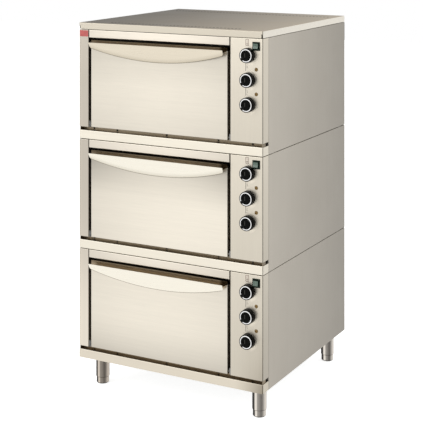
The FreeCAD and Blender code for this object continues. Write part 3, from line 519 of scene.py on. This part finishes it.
# Painted shade: the lid's top is darker and warmer, its front flange a little warmer.
LID_STEEL = brushed_steel("lid_steel", (0.97, 0.92, 0.82), "x", rough=0.38, contrast=0.7, shade=lid_shade,
                          shades_and_stains=[(lid_top, (0.78, 0.70, 0.59)), (lid_front, (1.0, 0.965, 0.90)),
                                  (hole_shade, (0.45, 0.43, 0.40)), (hole_wall_shade, (0.03, 0.03, 0.03)), BEND_REFLECTION])
TUBE_STEEL = brushed_steel("tube_steel", (0.86, 0.80, 0.72), "z", rough=0.34, shade=tube_shade,
                           shades_and_stains=[(foot_sole, (0.12, 0.12, 0.12)), (foot_groove, (0.45, 0.42, 0.40)),
                                   (front_left_leg_shade, (0.80, 0.76, 0.72))])
CHAMBER_STEEL = brushed_steel("chamber_steel", (0.16, 0.15, 0.14), "y", rough=0.45, shade=chamber_shade)
LINER_STEEL = brushed_steel("liner_steel", (0.42, 0.39, 0.34), "x", rough=0.38)
ZINC = brushed_steel("zinc", (0.35, 0.35, 0.34), "x", rough=0.45)
RING_STEEL = brushed_steel("ring_steel", (0.93, 0.93, 0.92), "x", rough=0.16)


def moulding(name, colour, rough=0.32, specular=0.35, light=None):
    """Black moulded plastic with a fine spark-eroded grain; light is a mask of a painted highlight, paler."""
    s = Shader(name)
    grain = s.noise(2200, detail=2)
    wear = s.noise(40, detail=3)
    tinted = s.tint(colour, s.spread(wear, 0.8, 1.25))
    if light:
        tinted = s.mix(light(s), tinted, (0.045, 0.045, 0.040))
    s.set(colour=tinted, rough=s.spread(wear, rough - 0.05, rough + 0.08))
    s.set(specular=specular)
    s.bump(grain, 0.15, 0.00008)
    return s.material


BLACK = moulding("black_moulding", (0.003, 0.003, 0.0028), specular=0.10)
KNOB_BLACK = moulding("knob_moulding", (0.002, 0.002, 0.0016), specular=0.06, light=cap_highlight)
DARK_GREEN = moulding("dark_green_moulding", (0.006, 0.016, 0.009), specular=0.12)
RUBBER = moulding("rubber", (0.015, 0.015, 0.015), rough=0.7)


def switch_lens():
    """Green translucent rocker, mottled lighter and darker on its face; its flanks carry a painted shade,
    dark.
    """
    s = Shader("green_lens")
    cloud = s.noise(260, detail=2)
    face = s.mix(s.spread(cloud, 0, 1), (0.035, 0.075, 0.05), (0.12, 0.185, 0.14))
    front = s.above(s.math("ABSOLUTE", s.facing("y")), 0.7)
    s.set(colour=s.mix(front, (0.006, 0.012, 0.009), face), rough=0.22, coat=0.5)
    return s.material


LAMP_R = 8 * MM
LAMP_DROPS = (129 * MM, 230 * MM)  # from the top of a deck down to the middles of its two lamps


def lamp_lens():
    """Amber lens over a dark bulb, with a dark rim where it meets the panel."""
    s = Shader("amber_lens")
    across = s.math("SUBTRACT", s.along("x"), LAMP_X)
    drop = s.math("SUBTRACT", PITCH, s.in_deck())
    off_upper, off_lower = [s.math("ABSOLUTE", s.math("SUBTRACT", drop, lamp)) for lamp in LAMP_DROPS]
    up = s.math("MINIMUM", off_upper, off_lower)
    radius = s.reach(across, up)
    ramp = s.add("ShaderNodeValToRGB", {"Fac": s.times(radius, 1 / LAMP_R)})
    ramp.color_ramp.elements[0].color = (0.035, 0.017, 0.004, 1)
    ramp.color_ramp.elements[1].color = (0.20, 0.15, 0.08, 1)
    middle = ramp.color_ramp.elements.new(0.55)
    middle.color = (0.26, 0.15, 0.035, 1)
    s.set(colour=ramp.outputs["Color"], rough=0.2, coat=0.2, specular=0.3)
    return s.material


def enamel(name, colour):
    """Glossy paint, slightly mottled and uneven."""
    s = Shader(name)
    mottle = s.noise(60, detail=3)
    s.set(colour=s.tint(colour, s.spread(mottle, 0.9, 1.1)), rough=0.3, coat=0.4)
    s.bump(s.noise(900), 0.05, 0.0001)
    return s.material


def stone(name, colour):
    """Rough mineral surface with grains and larger patches."""
    s = Shader(name)
    grains = s.noise(420, detail=5, roughness=0.7)
    patches = s.noise(14, detail=4)
    shade = s.times(s.spread(grains, 0.75, 1.15), s.spread(patches, 0.85, 1.08))
    s.set(colour=s.tint(colour, shade), rough=0.92)
    s.bump(grains, 0.5, 0.0006)
    return s.material


GREEN = switch_lens()
AMBER = lamp_lens()
RED = enamel("red_enamel", (0.55, 0.10, 0.09))
RED_INK = enamel("red_ink", (0.16, 0.05, 0.04))
GREY_INK = enamel("grey_ink", (0.03, 0.026, 0.02))
STONE = stone("refractory_stone", (0.58, 0.50, 0.39))
WOOL = stone("mineral_wool", (0.70, 0.66, 0.50))


def assign(material, *names):
    for name in names:
        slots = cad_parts[name].data.materials
        slots.clear()
        slots.append(material)


assign(FRONT_STEEL, "header_strips")
assign(RAIL_STEEL, "bottom_rails")
assign(COLUMN_STEEL, "left_columns")
assign(PANEL_STEEL, "control_panels")
assign(SIDE_STEEL, "side_panels")
assign(REAR_STEEL, "rear_panels")
assign(LID_STEEL, "lid")
assign(TUBE_STEEL, "legs", "steam_outlets", "front_left_foot", "front_right_foot", "rear_left_foot",
       "rear_right_foot")
assign(CHAMBER_STEEL, "oven_chambers", "hearth_ledges", "heating_elements")
assign(ZINC, "chamber_supports", "heat_shields", "deck_floors", "temperature_bulbs", "stacking_pads",
       "hinge_brackets", "screws")
assign(WOOL, "chamber_insulation")
assign(STONE, "hearth_stones")
assign(RUBBER, "door_gaskets", "mains_cable")
assign(BLACK, "thermostats", "cable_gland", "terminal_block")
assign(DARK_GREEN, "switch_housings")
assign(AMBER, "indicator_lamps")
assign(RED, "badge")
for deck in DECKS:
    assign(DOOR_STEEL, deck + "_door_skin")
    assign(HANDLE_STEEL, deck + "_door_handle")
    assign(LINER_STEEL, deck + "_door_liner")
    assign(WOOL, deck + "_door_insulation")
    assign(ZINC, deck + "_door_hinge_arms")
    assign(GREEN, deck + "_power_rocker")


# ---- mesh helpers -------------------------------------------------------------------------
def piece(name, mesh_maker, material, body, smooth=True):
    """Object made by a function that fills a bmesh, riding on one body."""
    mesh = bpy.data.meshes.new(name)
    bm = bmesh.new()
    mesh_maker(bm)
    bmesh.ops.recalc_face_normals(bm, faces=bm.faces)
    bm.to_mesh(mesh)
    bm.free()
    mesh.materials.append(material)
    if smooth:
        mesh.shade_smooth()
        mesh.set_sharp_from_angle(angle=math.radians(32))
    thing = bpy.data.objects.new(name, mesh)
    bpy.context.scene.collection.objects.link(thing)
    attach(thing, body)
    return thing


def swept(bm, rings):
    """Skin over rings of points, with a flat cap at both ends; each ring is a closed loop."""
    loops = [[bm.verts.new(point) for point in ring] for ring in rings]
    for a, b in zip(loops, loops[1:]):
        for k in range(len(a)):
            n = (k + 1) % len(a)
            bm.faces.new((a[k], a[n], b[n], b[k]))
    bm.faces.new(loops[0])
    bm.faces.new(loops[-1])


# ---- control knobs --------------------------------------------------------------------------
KNOB_OUT = 25 * MM                 # plane of the ring, out from the panel
KNOB_BACK = 3.2 * MM
KNOB_R = 30.5 * MM
GRIP_R = 30.2 * MM
RING_IN, RING_OUT = 22.45 * MM, 26.65 * MM
RING_DEPTH = 2.9 * MM
POINTER_HALF = 5.5 * MM
POINTER_ANGLE = math.radians(221)
FLUTES = 30
FLUTE_DEPTH = 0.55 * MM


def knob_point(centre, radius, angle, out):
    """Point on a knob: angle seen from the front, distance out from the panel."""
    return Vector((centre.x + radius * math.cos(angle), FRONT - out, centre.z + radius * math.sin(angle)))


def knob_moulding(bm, centre):
    """Turned body with a skirt, a fluted grip, a groove for the ring and a dished cap."""
    # Radius, distance out from the panel and share of the flutes' depth, from the back to the cap.
    profile = [(4 * MM, KNOB_BACK, 0), (KNOB_R - 0.6 * MM, KNOB_BACK, 0), (KNOB_R, KNOB_BACK + 0.6 * MM, 0),
               (KNOB_R, KNOB_BACK + 2.4 * MM, 0), (KNOB_R - 0.5 * MM, KNOB_BACK + 3.1 * MM, 0.3),
               (GRIP_R, KNOB_BACK + 3.6 * MM, 1), (GRIP_R, KNOB_OUT - 1.4 * MM, 1),
               (GRIP_R - 0.4 * MM, KNOB_OUT - 0.8 * MM, 0.4), (RING_OUT + 0.5 * MM, KNOB_OUT - 0.5 * MM, 0),
               (RING_OUT + 0.05 * MM, KNOB_OUT - 0.5 * MM, 0),
               (RING_OUT + 0.05 * MM, KNOB_OUT - RING_DEPTH, 0),
               (RING_IN - 0.05 * MM, KNOB_OUT - RING_DEPTH, 0),
               (RING_IN - 0.05 * MM, KNOB_OUT, 0), (RING_IN - 0.8 * MM, KNOB_OUT + 0.8 * MM, 0),
               (RING_IN - 2.0 * MM, KNOB_OUT + 1.0 * MM, 0), (15.5 * MM, KNOB_OUT + 1.0 * MM, 0),
               (14.5 * MM, KNOB_OUT + 0.7 * MM, 0), (13.0 * MM, KNOB_OUT - 0.5 * MM, 0),
               (5.0 * MM, KNOB_OUT - 0.7 * MM, 0)]
    count = FLUTES * 6
    rings = []
    for radius, out, flute in profile:
        ring = []
        for k in range(count):
            angle = math.tau * k / count
            dip = flute * FLUTE_DEPTH * (0.5 + 0.5 * math.cos(FLUTES * angle)) ** 2
            ring.append(knob_point(centre, radius - dip, angle, out))
        rings.append(ring)
    swept(bm, rings)


def knob_pointer(bm, centre):
    """Raised bar with rounded edges from the cap across the ring."""
    start, end = 10 * MM, GRIP_R - 0.9 * MM
    top, shoulder, foot = KNOB_OUT + 2.0 * MM, KNOB_OUT + 1.4 * MM, KNOB_OUT - RING_DEPTH
    outward = Vector((math.cos(POINTER_ANGLE), 0, math.sin(POINTER_ANGLE)))
    sideways = Vector((-outward.z, 0, outward.x))
    section = [(-POINTER_HALF, foot), (-POINTER_HALF, shoulder), (-POINTER_HALF + 0.8 * MM, top),
               (POINTER_HALF - 0.8 * MM, top), (POINTER_HALF, shoulder), (POINTER_HALF, foot)]
    origin = Vector((centre.x, FRONT, centre.z))
    rings = []
    for reach, lower in ((start, 0.8 * MM), (start + 1.2 * MM, 0), (end - 1.2 * MM, 0), (end, 0.8 * MM)):
        rings.append([origin + outward * reach + sideways * side - Vector((0, min(out, top - lower), 0))
                      for side, out in section])
    swept(bm, rings)


def knob_ring(bm, centre):
    """Bright ring with eased edges, open where the pointer crosses it."""
    opening = math.asin((POINTER_HALF + 0.4 * MM) / RING_IN)
    ease = 0.5 * MM
    foot, top = KNOB_OUT - RING_DEPTH + 0.05 * MM, KNOB_OUT + 0.2 * MM
    section = [(RING_IN, foot), (RING_IN, top - ease), (RING_IN + ease, top), (RING_OUT - ease, top),
               (RING_OUT, top - ease), (RING_OUT, foot)]
    steps = 96
    rings = []
    for k in range(steps + 1):
        angle = POINTER_ANGLE + opening + (math.tau - 2 * opening) * k / steps
        rings.append([knob_point(centre, radius, angle, out) for radius, out in section])
    swept(bm, rings)


def spindle(bm, centre):
    """D-shaped spindle between the knob and the thermostat."""
    radius, flat = 3.0 * MM, 2.2 * MM
    in_knob, in_thermostat = FRONT - 12 * MM, FRONT + 26 * MM
    rings = []
    for y in (in_knob, in_thermostat):
        rings.append([Vector((centre.x + min(radius * math.cos(a), flat), y, centre.z + radius * math.sin(a)))
                      for a in (math.tau * k / 24 for k in range(24))])
    swept(bm, rings)


def make_knobs():
    for deck in DECKS:
        for kind in KNOBS:
            node = "%s_%s_knob" % (deck, kind)
            low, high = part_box(node)
            centre = (low + high) / 2
            body = node + "_body"
            cap = piece(node + "_moulding", lambda bm: knob_moulding(bm, centre), KNOB_BLACK, body)
            bar = piece(node + "_pointer", lambda bm: knob_pointer(bm, centre), BLACK, body)
            ring = piece(node + "_ring", lambda bm: knob_ring(bm, centre), RING_STEEL, body)
            shaft = piece(node + "_spindle", lambda bm: spindle(bm, centre), ZINC, body)
            for part in (cap, bar, ring, shaft):
                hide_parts(node)


# ---- printed marks above the knobs ------------------------------------------------------------
LINE = 1.8 * MM
INK = 0.08 * MM                    # thickness of the printing
INK_GAP = 0.02 * MM                # between the panel and the printing
OVERRUN = 0.6                      # how far a line runs past its end points, in half widths
MARK_W, MARK_H = 13 * MM, 26 * MM
MARK_LEFT_OF_KNOB = 5.5 * MM
MARK_ABOVE_KNOB = 52 * MM


def stroke(bm, points, width, closed):
    """Flat printed line through points given as (x, z), standing on the panel."""
    count = len(points)
    pairs = [(points[k], points[(k + 1) % count]) for k in range(count if closed else count - 1)]
    for (x0, z0), (x1, z1) in pairs:
        along = Vector((x1 - x0, 0, z1 - z0)).normalized() * width / 2
        across = Vector((-along.z, 0, along.x))
        start = Vector((x0, FRONT - INK_GAP, z0)) - along * OVERRUN
        end = Vector((x1, FRONT - INK_GAP, z1)) + along * OVERRUN
        out = Vector((0, -INK, 0))
        swept(bm, [[point - across, point + across, point + across + out, point - across + out]
                   for point in (start, end)])


def rounded_frame(x, z, width, height, corner):
    """Outline of a rectangle with round corners, as (x, z) points."""
    points = []
    for k in range(4):
        sign_x = 1 if k in (0, 3) else -1
        sign_z = 1 if k < 2 else -1
        for step in range(4):
            angle = math.radians(90 * k + 30 * step)
            points.append((x + sign_x * (width / 2 - corner) + corner * math.cos(angle),
                           z + sign_z * (height / 2 - corner) + corner * math.sin(angle)))
    return points


def wave(x, z, height, swing):
    """One upright wave, as (x, z) points."""
    steps = 8
    return [(x + swing * math.sin(math.tau * k / steps), z + height * (k / steps - 0.5))
            for k in range(steps + 1)]


def heat_mark(bm, x, z, kind):
    """Frame with a bulb, or with rising or falling heat from a bar."""
    if kind == "thermostat":
        stroke(bm, rounded_frame(x, z, MARK_W, MARK_H, 3 * MM), LINE, True)
        stroke(bm, [(x, z - 3 * MM), (x, z + 9 * MM)], 0.7 * LINE, False)
        stroke(bm, rounded_frame(x, z - 6 * MM, 5 * MM, 5 * MM, 2.4 * MM), 0.7 * LINE, True)
        return
    bar_z = z + MARK_H / 2 if kind == "top_heat" else z - MARK_H / 2
    stroke(bm, [(x - MARK_W / 2, z - 0.6 * MARK_H), (x - MARK_W / 2, z + 0.6 * MARK_H)], LINE, False)
    stroke(bm, [(x - MARK_W / 4, bar_z), (x + MARK_W / 4, bar_z)], 0.6 * LINE, False)
    for offset in (-1.5 * MM, 2.5 * MM):
        stroke(bm, wave(x + offset, z, 12 * MM, 0.8 * MM), 0.4 * LINE, False)


def make_marks():
    for deck in DECKS:
        for kind in KNOBS:
            low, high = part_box("%s_%s_knob" % (deck, kind))
            x = (low.x + high.x) / 2 - MARK_LEFT_OF_KNOB
            z = (low.z + high.z) / 2 + MARK_ABOVE_KNOB
            ink = RED_INK if kind == "thermostat" else GREY_INK
            mark = piece("%s_%s_mark" % (deck, kind), lambda bm: heat_mark(bm, x, z, kind), ink, "cabinet",
                         smooth=False)


make_knobs()
make_marks()


# ---- floor, light and camera --------------------------------------------------------------
def make_floor():
    """Plain white floor, left out of the steel's reflections."""
    mesh = bpy.data.meshes.new("floor")
    half = 14.0
    corners = [(-half, -half, 0), (half, -half, 0), (half, half, 0), (-half, half, 0)]
    mesh.from_pydata(corners, [], [(0, 1, 2, 3)])
    floor = bpy.data.objects.new("floor", mesh)
    bpy.context.scene.collection.objects.link(floor)
    floor.visible_glossy = False
    s = Shader("floor_paint")
    mottle = s.noise(3, detail=2)
    s.set(colour=s.tint((0.93, 0.93, 0.925), s.spread(mottle, 0.995, 1.005)), rough=0.9, specular=0.0)
    seen = s.add("ShaderNodeLightPath").outputs["Is Camera Ray"]
    s.set(glow=(1.0, 1.0, 1.0), glow_power=s.times(seen, 0.72))
    mesh.materials.append(s.material)


# Brightness of the studio by compass direction, in degrees anticlockwise from +X.
STUDIO = [(-180, 0.62), (-150, 0.95), (-118, 1.08), (-80, 0.85), (-48, 0.30), (-28, 0.06), (-8, 0.16),
          (25, 0.62), (66, 0.90), (100, 0.68), (125, 0.50), (152, 0.40), (180, 0.62)]


def make_world():
    """Studio that is bright in front, has a dark gap at the right and dims behind; the camera sees white."""
    world = bpy.data.worlds.new("studio")
    bpy.context.scene.world = world
    world.use_nodes = True
    tree = world.node_tree
    tree.nodes.clear()

    def add(kind, **settings):
        node = tree.nodes.new(kind)
        for key, value in settings.items():
            setattr(node, key, value)
        return node

    direction = add("ShaderNodeSeparateXYZ")
    tree.links.new(add("ShaderNodeTexCoord").outputs["Generated"], direction.inputs[0])
    compass = add("ShaderNodeMath", operation="ARCTAN2")
    tree.links.new(direction.outputs["Y"], compass.inputs[0])
    tree.links.new(direction.outputs["X"], compass.inputs[1])
    share = add("ShaderNodeMapRange")
    share.inputs["From Min"].default_value = -math.pi
    share.inputs["From Max"].default_value = math.pi
    tree.links.new(compass.outputs[0], share.inputs["Value"])
    ramp = add("ShaderNodeValToRGB")
    ramp.color_ramp.interpolation = "EASE"
    stops = ramp.color_ramp.elements
    while len(stops) > 1:
        stops.remove(stops[-1])
    stops[0].position = 0.0
    stops[0].color = (STUDIO[0][1],) * 3 + (1,)
    for degrees, level in STUDIO[1:]:
        stops.new((degrees + 180) / 360).color = (level, level, level, 1)
    tree.links.new(share.outputs["Result"], ramp.inputs["Fac"])

    steep = add("ShaderNodeMapRange", interpolation_type="SMOOTHSTEP")
    steep.inputs["From Min"].default_value = 0.45
    steep.inputs["From Max"].default_value = 0.85
    height = add("ShaderNodeMath", operation="ABSOLUTE")
    tree.links.new(direction.outputs["Z"], height.inputs[0])
    tree.links.new(height.outputs[0], steep.inputs["Value"])
    whole = add("ShaderNodeMix", data_type="RGBA")
    whole.inputs[7].default_value = (1.0, 1.0, 1.0, 1)
    tree.links.new(steep.outputs["Result"], whole.inputs["Factor"])
    tree.links.new(ramp.outputs["Color"], whole.inputs[6])

    lit = add("ShaderNodeBackground")
    tree.links.new(whole.outputs[2], lit.inputs["Color"])
    seen = add("ShaderNodeBackground")
    seen.inputs["Color"].default_value = (1, 1, 1, 1)
    choose = add("ShaderNodeMixShader")
    tree.links.new(add("ShaderNodeLightPath").outputs["Is Camera Ray"], choose.inputs[0])
    tree.links.new(lit.outputs[0], choose.inputs[1])
    tree.links.new(seen.outputs[0], choose.inputs[2])
    tree.links.new(choose.outputs[0], add("ShaderNodeOutputWorld").inputs["Surface"])


def add_light(name, place, target, size, power):
    data = bpy.data.lights.new(name, "AREA")
    data.shape = "RECTANGLE"
    data.size, data.size_y = size
    data.energy = power
    light = bpy.data.objects.new(name, data)
    bpy.context.scene.collection.objects.link(light)
    light.location = place
    light.rotation_euler = (Vector(target) - Vector(place)).to_track_quat("-Z", "Y").to_euler()


CAMERA_PLACE = (2.6171, -4.9135, 2.0826)
CAMERA_TURN = 28.257               # degrees, from looking along +Y towards -X
LENS = 103.93                      # in millimetres, as the camera's sensor
SENSOR = 36.0
SHIFT = -0.702                     # of the picture, so that the level camera sees the whole oven


def make_camera():
    """Level camera, right of the oven and above it, with a shifted lens that keeps uprights parallel.

    Only a camera in this place has the shift, because one moved to another side aims at the oven.
    """
    data = bpy.data.cameras.new("camera")
    data.sensor_width = SENSOR
    data.lens = LENS
    data.clip_end = 100.0
    camera = bpy.data.objects.new("camera", data)
    camera.location = CAMERA_PLACE
    camera.rotation_euler = (math.radians(90), 0, math.radians(CAMERA_TURN))
    bpy.context.scene.collection.objects.link(camera)
    bpy.context.scene.camera = camera
    driver = data.driver_add("shift_y").driver
    driver.type = "SCRIPTED"
    place = driver.variables.new()
    place.name = "x"
    place.type = "SINGLE_PROP"
    place.targets[0].id = camera
    place.targets[0].data_path = "location[0]"
    driver.expression = "%s if abs(x - %s) < 0.0005 else 0.0" % (SHIFT, CAMERA_PLACE[0])


make_floor()
make_world()
add_light("key", place=(-2.6, -4.2, 3.4), target=(0, 0, 0.8), size=(3.4, 3.4), power=45)
add_light("fill", place=(3.6, -1.0, 2.6), target=(0.3, 0, 0.8), size=(2.2, 2.2), power=12)
make_camera()
bpy.context.scene.view_settings.view_transform = "Standard"
